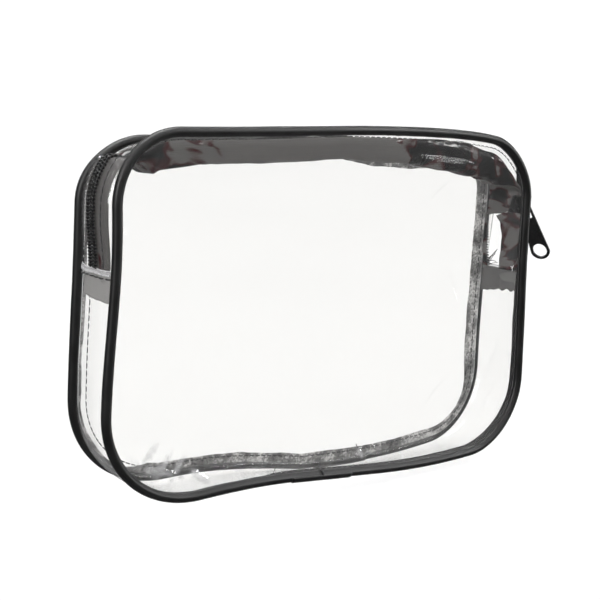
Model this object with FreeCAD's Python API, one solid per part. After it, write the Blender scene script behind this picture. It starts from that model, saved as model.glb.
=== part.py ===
"""Clear zipped makeup bag: a soft sheet pouch with corded seams and a coil zip over its top and sides.

Row frame, in millimetres: +Z up, -Y to the front, +X to the end where the zip closes.
The origin is on the surface that the bag stands on, under the middle of the bag.
"""
import FreeCAD
import Part
import math
import os

V = FreeCAD.Vector
os.makedirs("parts", exist_ok=True)

# Driving dimensions, mm
seam_width = 226.0          # between the piping centre lines, left to right
seam_height = 146.0         # between the piping centre lines, bottom to top
seam_depth = 28.0           # between the two piping rings, front to back
top_radius = 28.0           # corners of the seam line
bottom_radius = 36.0
piping_radius = 2.0
piping_wall = 0.75
sheet = 0.5                 # clear sheet
tape = 0.5                  # woven zip tape
thread_radius = 0.2
left_end_z = 96.0           # height of the seams that close the zip's ends
right_end_z = 85.0
end_tab_length = 11.0
fold_z = 85.0               # height at which the front panel folds down
fold_gap = 0.2
joint_gap = 0.3             # butt joint of the piping, inside its sleeve
sleeve_length = 31.0
sleeve_wall = 0.35
front_sleeve_x = -11.0
back_sleeve_x = 24.0
binding_width = 6.0         # inside the back seam
flange_width = 2.4          # inside the front seam
coil_width = 2.95           # one half of the zip
coil_height = 2.0
open_gap = 1.35             # from the middle to each coil where the zip is open
shelf_half = 5.0            # half width of the flat strip along the middle of the gusset
facing_edge = 6.0           # the clear facings stop this far from the middle
tape_edge = 9.5             # the tapes reach this far under the facings
gusset_bulge = 2.4          # how far the middle of the gusset stands out
top_sag = -10.5             # how far the zip hangs in along the top
peak_bulge = 9.3            # how far the zip stands out just above the slider
slider_shift = -1.5         # how far forward the zip lies on the slider's side
slider_z = 116.0
slider_length = 11.0
slider_half = 5.2
inner_plate_half = 4.7
plate = 1.1
bridge_half = 0.8
bridge_length = 8.0
bridge_wall = 1.2
pivot_height = 1.9          # of the pull's bar above the slider's plate
pull_length = 30.5          # from its bar to its far end
pull_half = 4.9
pull_neck = 2.9
pull_thickness = 1.2
pull_swing = 32.0           # degrees out from hanging straight down
pull_twist = 25.0           # degrees that the loose pull turns to the front

# Derived dimensions
half_width = seam_width / 2
half_depth = seam_depth / 2
low_z = piping_radius
high_z = piping_radius + seam_height
nest = piping_radius / math.sqrt(2)
wall_n = -nest              # inner face of the gusset sheet, measured outwards from the seam line
wall_y = half_depth - nest  # inner face of the panels
gusset_y = half_depth - piping_radius - 0.15
bridge_height = pivot_height + 1.4 + bridge_wall


def save(name, shape):
    """Writes one sub-part and prints its size."""
    solids = shape.Solids
    body = solids[0] if len(solids) == 1 else Part.makeCompound(solids)
    body.exportStep("parts/" + name + ".step")
    print(name, len(solids), "solids", round(body.Volume, 1), "mm3", "valid", body.isValid())


# The seam line: straight runs joined by corner arcs, in the plane of a panel

def arc(centre_x, centre_z, radius, start, end, y):
    """A quarter turn of the seam line; angles in degrees from +X towards +Z."""
    points = []
    for angle in (start, (start + end) / 2, end):
        turn = math.radians(angle)
        points.append(V(centre_x + radius * math.cos(turn), y, centre_z + radius * math.sin(turn)))
    return Part.Arc(*points).toShape()


def run(x1, z1, x2, z2, y):
    return Part.LineSegment(V(x1, y, z1), V(x2, y, z2)).toShape()


def upper_path(y, left_z, right_z):
    """From the left side up, over the top and down the right side."""
    x = half_width
    xt = half_width - top_radius
    zt = high_z - top_radius
    return Part.Wire([
        run(-x, left_z, -x, zt, y),
        arc(-xt, zt, top_radius, 180, 90, y),
        run(-xt, high_z, xt, high_z, y),
        arc(xt, zt, top_radius, 90, 0, y),
        run(x, zt, x, right_z, y),
    ])


def lower_right_path(y, right_z, end_x):
    """From the right side down and along the bottom to end_x."""
    xb = half_width - bottom_radius
    zb = low_z + bottom_radius
    return Part.Wire([
        run(half_width, right_z, half_width, zb, y),
        arc(xb, zb, bottom_radius, 0, -90, y),
        run(xb, low_z, end_x, low_z, y),
    ])


def lower_left_path(y, left_z, end_x):
    """From end_x along the bottom and up the left side."""
    xb = half_width - bottom_radius
    zb = low_z + bottom_radius
    return Part.Wire([
        run(end_x, low_z, -xb, low_z, y),
        arc(-xb, zb, bottom_radius, 270, 180, y),
        run(-half_width, zb, -half_width, left_z, y),
    ])


def ring_path(y, joint_x):
    """The whole seam line, open by the butt joint at joint_x."""
    left = lower_left_path(y, fold_z, joint_x - joint_gap / 2)
    top = upper_path(y, fold_z, fold_z)
    right = lower_right_path(y, fold_z, joint_x + joint_gap / 2)
    return Part.Wire(left.Edges + top.Edges + right.Edges)


def sweep(path, profile):
    """A solid swept along a flat path, its section kept square to the path."""
    pipe = Part.BRepOffsetAPI.MakePipeShell(path)
    pipe.setBiNormalMode(V(0, 1, 0))
    pipe.add(profile)
    pipe.build()
    pipe.makeSolid()
    return pipe.shape()


def path_frame(path):
    """Start of a path and its outward direction there."""
    edge = path.OrderedEdges[0]
    start = path.OrderedVertexes[0].Point
    ahead = edge.tangentAt(edge.FirstParameter)
    if (edge.valueAt(edge.FirstParameter) - start).Length > 1e-6:
        ahead = edge.tangentAt(edge.LastParameter) * -1
    out = V(-ahead.z, 0, ahead.x)
    return start, ahead, out


def strip(path, n1, n2, y1, y2):
    """A flat strip along a path: n is measured outwards from the seam line, y in the row frame."""
    start, ahead, out = path_frame(path)
    corners = []
    for n, y in ((n1, y1), (n2, y1), (n2, y2), (n1, y2), (n1, y1)):
        point = start + out * n
        corners.append(V(point.x, y, point.z))
    return sweep(path, Part.makePolygon(corners))


def rod(path, radius, n=0.0, y=None):
    """A round rod along a path."""
    start, ahead, out = path_frame(path)
    centre = start + out * n
    if y is not None:
        centre = V(centre.x, y, centre.z)
    return sweep(path, Part.Wire([Part.Circle(centre, ahead, radius).toShape()]))


# Panels

def panel(inset, y1, y2):
    """A flat panel with the seam line's shape, smaller all round by inset."""
    x = half_width - inset
    z1 = low_z + inset
    z2 = high_z - inset
    rt = top_radius - inset
    rb = bottom_radius - inset
    outline = Part.Wire([
        run(-x, z1 + rb, -x, z2 - rt, y1),
        arc(-x + rt, z2 - rt, rt, 180, 90, y1),
        run(-x + rt, z2, x - rt, z2, y1),
        arc(x - rt, z2 - rt, rt, 90, 0, y1),
        run(x, z2 - rt, x, z1 + rb, y1),
        arc(x - rb, z1 + rb, rb, 0, -90, y1),
        run(x - rb, z1, -x + rb, z1, y1),
        arc(-x + rb, z1 + rb, rb, 270, 180, y1),
    ])
    return Part.Face(outline).extrude(V(0, y2 - y1, 0))


def slab(z1, z2):
    """A block that takes in everything between two heights."""
    reach = 2 * seam_width
    return Part.makeBox(reach, reach, z2 - z1, V(-reach / 2, -reach / 2, z1))


panel_inset = piping_radius - 0.05
front_panel = panel(panel_inset, -wall_y - sheet, -wall_y)
save("front_panel_upper", front_panel.common(slab(fold_z + fold_gap / 2, 200)))
save("front_panel_lower", front_panel.common(slab(0, fold_z - fold_gap / 2)))
save("back_panel", panel(panel_inset, wall_y, wall_y + sheet))

# Piping: a sleeve of thin sheet round a cord, butted end to end inside a short joint sleeve

front_y = -half_depth
back_y = half_depth
upper_front = upper_path(front_y, fold_z + fold_gap / 2, fold_z + fold_gap / 2)
lower_front_right = lower_right_path(front_y, fold_z - fold_gap / 2, front_sleeve_x + joint_gap / 2)
lower_front_left = lower_left_path(front_y, fold_z - fold_gap / 2, front_sleeve_x - joint_gap / 2)
whole_back = ring_path(back_y, back_sleeve_x)


def piping(name, paths):
    """Writes the cover and the cord of one stretch of piping."""
    covers = []
    cords = []
    for path in paths:
        bore = rod(path, piping_radius - piping_wall)
        covers.append(rod(path, piping_radius).cut(bore))
        cords.append(rod(path, piping_radius - piping_wall - 0.05))
    save(name, Part.makeCompound(covers))
    save(name + "_cord", Part.makeCompound(cords))


piping("front_piping_upper", [upper_front])
piping("front_piping_lower", [lower_front_right, lower_front_left])
piping("back_piping", [whole_back])


def joint_sleeve(name, x, y):
    """A half pipe of sheet over the outside of the piping's butt joint, trimmed level with its underside."""
    start = V(x - sleeve_length / 2, y, low_z)
    outer = Part.makeCylinder(piping_radius + sleeve_wall, sleeve_length, start, V(1, 0, 0))
    inner = Part.makeCylinder(piping_radius + 0.03, sleeve_length, start, V(1, 0, 0))
    block_y = y if y < 0 else y - seam_depth
    inside = Part.makeBox(sleeve_length, seam_depth, seam_depth, V(start.x, block_y, low_z - half_depth))
    save(name, outer.cut(inner).cut(inside).cut(slab(-10, 0)))


joint_sleeve("front_piping_sleeve", front_sleeve_x, front_y)
joint_sleeve("back_piping_sleeve", back_sleeve_x, back_y)

# Seam allowances inside the bag: a narrow flange at the front and a bound edge at the back, with threads

seam_inner = -piping_radius
binding_thickness = 0.6


def front_flange(paths):
    return Part.makeCompound([
        strip(path, seam_inner - flange_width, seam_inner, -wall_y + 0.02, -wall_y + binding_thickness)
        for path in paths
    ])


def front_thread(paths):
    middle = seam_inner - flange_width / 2
    return Part.makeCompound([
        rod(path, thread_radius, middle, -wall_y - sheet - thread_radius) for path in paths
    ])


lower_front = [lower_front_right, lower_front_left]
save("front_seam_flange_upper", front_flange([upper_front]))
save("front_seam_flange_lower", front_flange(lower_front))
save("back_seam_binding", strip(whole_back, seam_inner - binding_width, seam_inner,
                                wall_y - binding_thickness, wall_y - 0.02))
save("front_seam_thread_upper", front_thread([upper_front]))
save("front_seam_thread_lower", front_thread(lower_front))
save("back_seam_thread", rod(whole_back, thread_radius, seam_inner - binding_width / 2,
                             wall_y - binding_thickness - thread_radius))

# Gusset below the zip

def lower_gusset_path():
    """From the left end seam down, along the bottom and up to the right end seam."""
    xb = half_width - bottom_radius
    zb = low_z + bottom_radius
    return Part.Wire([
        run(-half_width, left_end_z, -half_width, zb, 0),
        arc(-xb, zb, bottom_radius, 180, 270, 0),
        run(-xb, low_z, xb, low_z, 0),
        arc(xb, zb, bottom_radius, -90, 0, 0),
        run(half_width, zb, half_width, right_end_z, 0),
    ])


def section(ys, b, lift, thickness, shift=0.0):
    """Outline of a strip across the gusset as (n, y) pairs, where the gusset's middle stands out by b.

    ys are its corners, lift its height above the gusset's inner face, and shift moves the middle along Y.
    """
    under = []
    for y in ys:
        share = min(1.0, (gusset_y - abs(y)) / (gusset_y - shelf_half))
        under.append((wall_n + b * share + lift, y + shift * share))
    over = [(n + thickness, y) for n, y in reversed(under)]
    return under + over + under[:1]


gusset_ys = [-gusset_y, -shelf_half, shelf_half, gusset_y]
profile = [V(-half_width - n, y, left_end_z) for n, y in section(gusset_ys, gusset_bulge, 0, sheet)]
save("lower_gusset", sweep(lower_gusset_path(), Part.makePolygon(profile)))

# The zip: strips that hang in along the top and stand out at the sides, so each is lofted between stations

quarter = math.pi / 2 * top_radius
left_run = high_z - top_radius - left_end_z
right_run = high_z - top_radius - right_end_z
zip_length = left_run + 2 * quarter + 2 * (half_width - top_radius) + right_run


def smooth(t):
    """0 up to t = 0, 1 from t = 1, and an even curve between."""
    t = min(1.0, max(0.0, t))
    return t * t * (3 - 2 * t)


def station(s):
    """Place on the zip's line at the fraction s of its length: point and outward direction, both in XZ."""
    zt = high_z - top_radius
    xt = half_width - top_radius
    d = s * zip_length
    if d <= left_run:
        return (-half_width, left_end_z + d), (-1.0, 0.0)
    d -= left_run
    if d <= quarter:
        a = math.pi - d / top_radius
        return (-xt + top_radius * math.cos(a), zt + top_radius * math.sin(a)), (math.cos(a), math.sin(a))
    d -= quarter
    if d <= 2 * xt:
        return (-xt + d, high_z), (0.0, 1.0)
    d -= 2 * xt
    if d <= quarter:
        a = math.pi / 2 - d / top_radius
        return (xt + top_radius * math.cos(a), zt + top_radius * math.sin(a)), (math.cos(a), math.sin(a))
    d -= quarter
    return (half_width, zt - d), (1.0, 0.0)


peak_z = slider_z + 6.5
lean = (peak_bulge - gusset_bulge) / (peak_z - right_end_z)
corner_fade = 24.0
left_fade_z = 110.0
sag_run = 48.0


def bulge(x, z):
    """How far the middle of the zip stands out; negative where it hangs in."""
    sag = top_sag * smooth((half_width - abs(x)) / sag_run)
    if x > 0 and z < peak_z:
        return gusset_bulge + lean * (z - right_end_z)
    if x > 0:
        return sag + peak_bulge * (1 - smooth((z - peak_z) / corner_fade))
    return sag + gusset_bulge * (1 - smooth((z - left_fade_z) / corner_fade))


def zip_shift(x, z):
    """How far the middle of the zip lies in front of the gusset's middle plane."""
    if x < 0:
        return 0.0
    shift_run = 2 * top_radius
    along_top = smooth((x - half_width + shift_run) / shift_run)
    down_side = smooth((high_z - z) / top_radius)
    return slider_shift * along_top * down_side


def ribbon(ys, lift, thickness, s_values):
    """A strip lofted along the zip: ys are its corners across, lift its height above the gusset."""
    sections = []
    for s in s_values:
        (x, z), (ox, oz) = station(s)
        b = bulge(x, z)
        loop = section(ys, b, lift, thickness, zip_shift(x, z))
        sections.append(Part.makePolygon([V(x + ox * n, y, z + oz * n) for n, y in loop]))
    return Part.makeLoft(sections, True, True)


def steps(first, last, count):
    return [first + (last - first) * i / count for i in range(count + 1)]


open_start = 1 - (slider_z - right_end_z) / zip_length     # where the slider parts the two halves
closed = steps(0, open_start, 56)
opened = steps(open_start, 1, 4)
under_tape = -tape - 0.1


def mirrored(ys, side):
    return [side * y for y in ys]


def zip_half(label, side):
    """One clear facing, its tape, its coil and its stitching: side is -1 at the front, +1 at the back."""
    facing = ribbon(mirrored([gusset_y, facing_edge], side), 0, sheet, closed + opened[1:])
    save(label + "_zip_facing", facing)
    closed_tape = ribbon(mirrored([tape_edge, shelf_half, 0.3], side), under_tape, tape, closed)
    opened_tape = ribbon(mirrored([tape_edge, shelf_half, open_gap], side), under_tape, tape, opened)
    save(label + "_zip_tape", closed_tape.fuse(opened_tape))
    inner = 0.05
    closed_coil = ribbon(mirrored([inner + coil_width, inner], side), 0, coil_height, closed)
    opened_coil = ribbon(mirrored([open_gap + coil_width, open_gap], side), 0, coil_height, opened)
    save(label + "_zip_coil", closed_coil.fuse(opened_coil))
    stitch = facing_edge + 0.8
    save(label + "_facing_thread", ribbon(mirrored([stitch + 2 * thread_radius, stitch], side),
                                          sheet + 0.02, thread_radius, closed + opened[1:]))


zip_half("front", -1)
zip_half("back", 1)


# Zip ends: the tape's end under the clear gusset, and the seam across it

def end_tab(side, top_z):
    """The folded end of the tape, flat under the clear gusset."""
    loop = section(gusset_ys, gusset_bulge, -tape - 0.05, tape)
    face = Part.Face(Part.makePolygon([V(side * (half_width + n), y, top_z) for n, y in loop]))
    return face.extrude(V(0, 0, -end_tab_length))


def end_thread(side, z):
    """The seam across the gusset that closes the zip's end, on the flat middle of the gusset."""
    x = side * (half_width + wall_n + gusset_bulge + sheet + thread_radius)
    return Part.makeCylinder(thread_radius, 2 * shelf_half, V(x, -shelf_half, z), V(0, 1, 0))


save("left_zip_end_tab", end_tab(-1, left_end_z - 0.1))
save("right_zip_end_tab", end_tab(1, right_end_z - 0.1))
save("left_end_thread", end_thread(-1, left_end_z - 2.5))
save("right_end_thread", end_thread(1, right_end_z - 2.5))

# Slider: built with X outwards from the tape's face, Z along the zip, then set on the leaning zip

slider_lean = math.degrees(math.atan(lean))
slider_x = half_width + wall_n + bulge(half_width, slider_z)
slider_turn = FreeCAD.Rotation(V(0, 1, 0), slider_lean)
slider_place = FreeCAD.Placement(V(slider_x, slider_shift, slider_z), slider_turn)


def set_on_zip(shape):
    moved = shape.copy()
    moved.Placement = slider_place.multiply(shape.Placement)
    return moved


def slider_plate(x1, x2, broad):
    """A plate that is broad where the coils part and narrower where they leave closed."""
    half = slider_length / 2
    narrow = broad - 1.1
    outline = Part.makePolygon([
        V(x1, -broad, -half), V(x1, broad, -half), V(x1, broad, half * 0.1),
        V(x1, narrow, half), V(x1, -narrow, half), V(x1, -broad, half * 0.1), V(x1, -broad, -half),
    ])
    solid = Part.Face(outline).extrude(V(x2 - x1, 0, 0))
    upright = [e for e in solid.Edges if abs(e.tangentAt(e.FirstParameter).x) > 0.99]
    return solid.makeFillet(0.9, upright)


face_under = under_tape - 0.25
face_over = coil_height + 0.2
outer_plate = slider_plate(face_over, face_over + plate, slider_half)
inner_plate = slider_plate(face_under - plate, face_under, inner_plate_half)
rim_height = face_over - 0.3
rims = slider_plate(face_over - rim_height, face_over + 0.1, slider_half)
rims = rims.cut(Part.makeBox(rim_height + 1, 2 * (slider_half - 0.7), 2 * slider_length,
                             V(face_over - rim_height - 0.5, -slider_half + 0.7, -slider_length)))
wedge_half = 1.0
wedge_length = 3.4
wedge = Part.makeBox(face_over - face_under + 0.2, 2 * wedge_half, wedge_length,
                     V(face_under - 0.1, -wedge_half, -slider_length / 2 + 0.2))
slider_body = outer_plate.fuse([inner_plate, wedge, rims]).removeSplitter()
save("slider_body", set_on_zip(slider_body))

plate_face = face_over + plate
bridge = Part.makeBox(bridge_height, 2 * bridge_half, bridge_length,
                      V(plate_face, -bridge_half, -bridge_length / 2))
corners = [e for e in bridge.Edges if abs(e.tangentAt(e.FirstParameter).y) > 0.99
           and e.CenterOfMass.x > plate_face + 1]
bridge_round = 1.6
bridge = bridge.makeFillet(bridge_round, corners)
eye = Part.makeBox(bridge_height - bridge_wall, 2 * bridge_half + 1, bridge_length - 2 * bridge_wall,
                   V(plate_face - 0.001, -bridge_half - 0.5, -bridge_length / 2 + bridge_wall))
save("slider_bridge", set_on_zip(bridge.cut(eye)))


# Pull: built hanging straight down from its bar with its flat side to X, then twisted and swung out

def pull():
    ring_z = -(pull_length - pull_half)
    slot_half = 2.0
    slot_end = -6.2
    bar_radius = 0.7
    rim = 1.1
    x1 = -pull_thickness / 2
    neck_z = slot_end - 1.0
    tip_end = V(x1, 0, ring_z - pull_half)
    tip = Part.Arc(V(x1, pull_half, ring_z), tip_end, V(x1, -pull_half, ring_z)).toShape()

    def line(y1, z1, y2, z2):
        return Part.LineSegment(V(x1, y1, z1), V(x1, y2, z2)).toShape()

    outline = Part.Wire([
        line(-pull_neck, 0, pull_neck, 0),
        line(pull_neck, 0, pull_neck, neck_z),
        line(pull_neck, neck_z, pull_half, ring_z),
        tip,
        line(-pull_half, ring_z, -pull_neck, neck_z),
        line(-pull_neck, neck_z, -pull_neck, 0),
    ])
    blade = Part.Face(outline).extrude(V(pull_thickness, 0, 0))
    hole_half = pull_half - rim
    hole = Part.makeCylinder(hole_half, 2 * pull_thickness, V(-pull_thickness, 0, ring_z), V(1, 0, 0))
    slot = Part.makeBox(2 * pull_thickness, 2 * slot_half, -slot_end + 1,
                        V(-pull_thickness, -slot_half, slot_end))
    bar = Part.makeCylinder(bar_radius, 2 * pull_neck, V(0, -pull_neck, 0), V(0, 1, 0))
    return blade.cut(hole).cut(slot).fuse(bar).removeSplitter()


pivot_local = V(plate_face + pivot_height, 0, 0)
twist = FreeCAD.Rotation(V(0, 0, 1), pull_twist)
swing = FreeCAD.Rotation(V(0, 1, 0), -pull_swing)
pivot = slider_place.multVec(pivot_local)
pull_shape = pull()
pull_shape.Placement = FreeCAD.Placement(pivot, swing.multiply(twist))
save("pull_tab", pull_shape)
hinge_axis = swing.multiply(twist).multVec(V(0, 1, 0))
travel_axis = slider_place.Rotation.multVec(V(0, 0, 1))
print("pivot", [round(c, 3) for c in pivot], "hinge axis", [round(c, 5) for c in hinge_axis])
print("slider travel axis", [round(c, 5) for c in travel_axis], "slider at", round(slider_x, 3), slider_z)
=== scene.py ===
"""Looks of the clear zipped makeup bag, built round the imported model.

Shapes are worked out in millimetres and made in metres. d is the distance along the seam line, clockwise
from the zip's left end as seen from the front; n is measured outwards from that line.
"""
import math
import random

import bpy
from mathutils import Matrix, Vector, noise


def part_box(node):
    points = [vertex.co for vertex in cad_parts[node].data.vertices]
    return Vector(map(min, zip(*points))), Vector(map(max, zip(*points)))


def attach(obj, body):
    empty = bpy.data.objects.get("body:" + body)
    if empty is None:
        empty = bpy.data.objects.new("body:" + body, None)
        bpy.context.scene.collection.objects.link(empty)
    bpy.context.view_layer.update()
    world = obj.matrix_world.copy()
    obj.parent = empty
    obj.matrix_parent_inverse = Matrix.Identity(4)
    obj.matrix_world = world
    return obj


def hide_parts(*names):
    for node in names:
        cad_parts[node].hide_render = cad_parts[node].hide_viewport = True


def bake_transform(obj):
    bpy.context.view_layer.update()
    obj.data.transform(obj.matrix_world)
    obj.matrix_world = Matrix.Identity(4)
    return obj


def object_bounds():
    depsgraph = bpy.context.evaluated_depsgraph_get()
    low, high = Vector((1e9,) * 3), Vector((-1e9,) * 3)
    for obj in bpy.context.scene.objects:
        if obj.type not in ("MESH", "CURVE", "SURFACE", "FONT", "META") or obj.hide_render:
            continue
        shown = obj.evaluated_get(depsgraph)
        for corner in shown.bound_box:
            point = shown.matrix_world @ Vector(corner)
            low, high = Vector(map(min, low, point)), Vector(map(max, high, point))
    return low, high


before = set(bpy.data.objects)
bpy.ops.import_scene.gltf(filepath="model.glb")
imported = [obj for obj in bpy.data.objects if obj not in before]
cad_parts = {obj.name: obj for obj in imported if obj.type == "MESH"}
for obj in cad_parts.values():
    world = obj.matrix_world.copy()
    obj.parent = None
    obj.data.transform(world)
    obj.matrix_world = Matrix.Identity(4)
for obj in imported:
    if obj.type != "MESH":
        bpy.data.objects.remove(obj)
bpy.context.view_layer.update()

M = 0.001
random.seed(7)

# Driving dimensions, mm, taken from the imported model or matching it
ring_low, ring_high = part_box("back_piping")
piping_radius = (ring_high.y - ring_low.y) / M / 2
half_depth = (ring_high.y + ring_low.y) / M / 2
half_width = ring_high.x / M - piping_radius
low_z = ring_low.z / M + piping_radius
high_z = ring_high.z / M - piping_radius
seam_width = 2 * half_width
seam_height = high_z - low_z
sheet = 0.5
nest = piping_radius / math.sqrt(2)
wall_n = -nest
wall_y = half_depth - nest
gusset_y = half_depth - piping_radius - 0.15
shelf_half = 5.0
left_end_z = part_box("left_zip_end_tab")[1].z / M + 0.1
right_end_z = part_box("right_zip_end_tab")[1].z / M + 0.1
gusset_bulge = 2.4
peak_bulge = 9.3
slider_shift = -1.5
slider_z = 116.0
coil_width = 2.95
coil_height = 2.0
front_sleeve_x = -11.0
back_sleeve_x = 24.0
sleeve_length = 31.0

# Corner radii of the seam line as the soft seam really lies
top_left_radius = 28.2
top_right_radius = 26.6
bottom_left_radius = 40.9
bottom_right_radius = 31.6

# How far the bottom, top, left and right of each side bow out of straight: an even part, an S-shaped
# part in the lower or left half, and the same in the other half
front_bows = ((0.65, -3.5, -3.5), (2.9, 0.9, 0.9), (0.25, 1.95, 1.95), (-1.2, -0.9, -0.9))
back_bows = ((-4.4, -6.4, -2.6), (0.5, 4.8, -6.3), (-0.3, 1.1, 1.1), (-1.25, 0.85, 0.85))
back_rise = 1.1

# The corner of each side that is pressed in: its place (x, z) and how far it moves (along X, along Z)
front_dent = ((105.0, 142.0), (-1.3, -2.3))
back_dent = ((-104.0, 143.0), (1.0, -2.9))
dent_reach = 22.0


# Camera

def add_object(name, data):
    made = bpy.data.objects.new(name, data)
    bpy.context.scene.collection.objects.link(made)
    return made


def make_camera():
    azimuth = math.radians(38.205)
    elevation = math.radians(9.08)
    roll = math.radians(2.159)
    distance = 485.0
    target = Vector((-14.55, 0, 78.2))
    back = Vector((-math.sin(azimuth) * math.cos(elevation), -math.cos(azimuth) * math.cos(elevation),
                   math.sin(elevation)))
    right = (-back).cross(Vector((0, 0, 1))).normalized()
    axes = Matrix((right, right.cross(-back), back)).transposed() @ Matrix.Rotation(roll, 3, "Z")
    camera = add_object("camera", bpy.data.cameras.new("camera"))
    camera.matrix_world = Matrix.Translation((target + back * distance) * M) @ axes.to_4x4()
    camera.data.lens = 67.83
    camera.data.clip_start = 0.01
    bpy.context.scene.camera = camera


make_camera()


# Small numbers

def smooth(t):
    t = min(1.0, max(0.0, t))
    return t * t * (3 - 2 * t)


def mix(a, b, t):
    return a + (b - a) * t


def wander(place, run, seed):
    """A smooth random value, about -1 to 1, that changes over the length run."""
    return 1.6 * noise.noise(Vector((place / run, seed * 7.3, seed * 1.7)))


def keyed(d, keys):
    """A value that changes smoothly between the keys, a list of (place, value)."""
    if d <= keys[0][0]:
        return keys[0][1]
    for (d1, value1), (d2, value2) in zip(keys, keys[1:]):
        if d <= d2:
            return mix(value1, value2, smooth((d - d1) / (d2 - d1)))
    return keys[-1][1]


def spread(first, last, count):
    return [first + (last - first) * i / count for i in range(count + 1)]


# The seam line

def seam_legs():
    """Runs and quarter turns: (length, start, direction or None, centre, radius, start angle)."""
    legs = []
    x = half_width

    def run(x1, z1, x2, z2):
        length = math.hypot(x2 - x1, z2 - z1)
        legs.append((length, (x1, z1), ((x2 - x1) / length, (z2 - z1) / length), None, 0, 0))

    def turn(cx, cz, radius, angle):
        legs.append((radius * math.pi / 2, None, None, (cx, cz), radius, angle))

    tl, tr, br, bl = top_left_radius, top_right_radius, bottom_right_radius, bottom_left_radius
    run(-x, left_end_z, -x, high_z - tl)
    turn(-x + tl, high_z - tl, tl, math.pi)
    run(-x + tl, high_z, x - tr, high_z)
    turn(x - tr, high_z - tr, tr, math.pi / 2)
    run(x, high_z - tr, x, low_z + br)
    turn(x - br, low_z + br, br, 0)
    run(x - br, low_z, -x + bl, low_z)
    turn(-x + bl, low_z + bl, bl, -math.pi / 2)
    run(-x, low_z + bl, -x, left_end_z)
    return legs


legs = seam_legs()
loop_length = sum(leg[0] for leg in legs)
zip_length = sum(leg[0] for leg in legs[:4]) + high_z - top_right_radius - right_end_z
bottom_right_d = sum(leg[0] for leg in legs[:6])


def seam(d):
    """Point (x, z) and outward direction of the seam line at the distance d."""
    d %= loop_length
    for length, start, direction, centre, radius, angle in legs:
        if d <= length:
            break
        d -= length
    if centre is None:
        x, z = start[0] + direction[0] * d, start[1] + direction[1] * d
        return x, z, -direction[1], direction[0]
    a = angle - d / radius
    return centre[0] + radius * math.cos(a), centre[1] + radius * math.sin(a), math.cos(a), math.sin(a)


def bow(x, z, bows, dent):
    """How far the soft seam lies out of its plain shape there, along X and Z."""
    u = x / seam_width
    v = (z - low_z) / seam_height - 0.5
    below, above = max(0.0, 0.5 - v) ** 2, max(0.0, 0.5 + v) ** 2
    left, right = max(0.0, 0.5 - u) ** 2, max(0.0, 0.5 + u) ** 2

    def wave(shape, t):
        return shape[0] * math.cos(math.pi * t) + shape[1 if t < 0 else 2] * math.sin(2 * math.pi * t)

    at_bottom, at_top, at_left, at_right = bows
    dx = left * wave(at_left, v) + right * wave(at_right, v)
    dz = below * wave(at_bottom, u) + above * wave(at_top, u)
    (dent_x, dent_z), (dent_along, dent_up) = dent
    near = math.exp(-((x - dent_x) ** 2 + (z - dent_z) ** 2) / dent_reach ** 2)
    return dx + dent_along * near, dz + dent_up * near


def bow_at(x, z, y):
    """The bow between the front seam and the back seam."""
    share = min(1.0, max(0.0, (y + half_depth) / (2 * half_depth)))
    fx, fz = bow(x, z, front_bows, front_dent)
    bx, bz = bow(x, z, back_bows, back_dent)
    return mix(fx, bx, share), mix(fz, bz + back_rise, share)


def seam_point(d, n, y):
    """A point beside a seam line, which follows the bow of the side it is on."""
    x, z, out_x, out_z = seam(d)
    dx, dz = bow_at(x, z, half_depth if y > 0 else -half_depth)
    return Vector((x + dx + out_x * n, y, z + dz + out_z * n))


def distance_along_bottom(x):
    """d of the point of the bottom run at x."""
    return bottom_right_d + half_width - bottom_right_radius - x


# The gusset and the zip strips

# Where the zip's line passes along the seam: the top run and the right corner
top_left_d = legs[0][0] + legs[1][0]
top_right_d = top_left_d + legs[2][0]
right_side_d = top_right_d + legs[3][0]
slider_d = right_side_d + high_z - top_right_radius - slider_z
peak_z = slider_z + 6.5
lean = (peak_bulge - gusset_bulge) / (peak_z - right_end_z)

# How far the zip's middle stands out: it keeps the left side's bulge up to the corner, then hangs in a
# valley along the top, deepest towards the right, and comes out again to the slider
valley = [(top_left_d - 26, gusset_bulge), (top_left_d - 13, -11.6), (top_left_d - 2, -11.0),
          (top_left_d + 20, -9.6), (top_left_d + 85, -7.0), (top_left_d + 125, -8.5),
          (top_left_d + 150, -11.2), (top_right_d, -14.6), (top_right_d + 18, -13.5),
          (top_right_d + 30, -10.0)]
rise_start_d = top_right_d + 30
rise_end_d = slider_d - 6


def bulge(d, z):
    """How far the middle of the zip stands out; negative where it hangs in."""
    if d > rise_end_d:
        return gusset_bulge + lean * (z - right_end_z)
    if d > rise_start_d:
        top = gusset_bulge + lean * (peak_z - right_end_z)
        return mix(valley[-1][1], top, smooth((d - rise_start_d) / (rise_end_d - rise_start_d)))
    return keyed(d, valley)


# The zip's middle follows the seams' bow only near its ends, over hold_run, and moves aside round the
# right corner, over shift_radius
hold_run = 20.0
shift_radius = 28.0


def zip_shift(x, z):
    """How far the zip's middle lies out of the middle of the gusset, along Y."""
    if x < 0:
        return 0.0
    along_top = smooth((x - half_width + 2 * shift_radius) / (2 * shift_radius))
    return slider_shift * along_top * smooth((high_z - z) / shift_radius)


def across(y):
    """0 at the gusset's seams, 1 along its middle."""
    t = min(1.0, max(0.0, (gusset_y - abs(y)) / (gusset_y - shelf_half)))
    return t * (2 - t)


def zip_point(d, y, lift):
    """A point of the zip strips, lift above the inner face of the gusset sheet."""
    x, z, out_x, out_z = seam(d)
    share = across(y)
    dx, dz = bow_at(x, z, y)
    held = 1 - share * smooth(d / hold_run) * smooth((zip_length - d) / hold_run)
    n = wall_n + bulge(d, z) * share + lift
    return Vector((x + dx * held + out_x * n, y + zip_shift(x, z) * share, z + dz * held + out_z * n))


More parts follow.
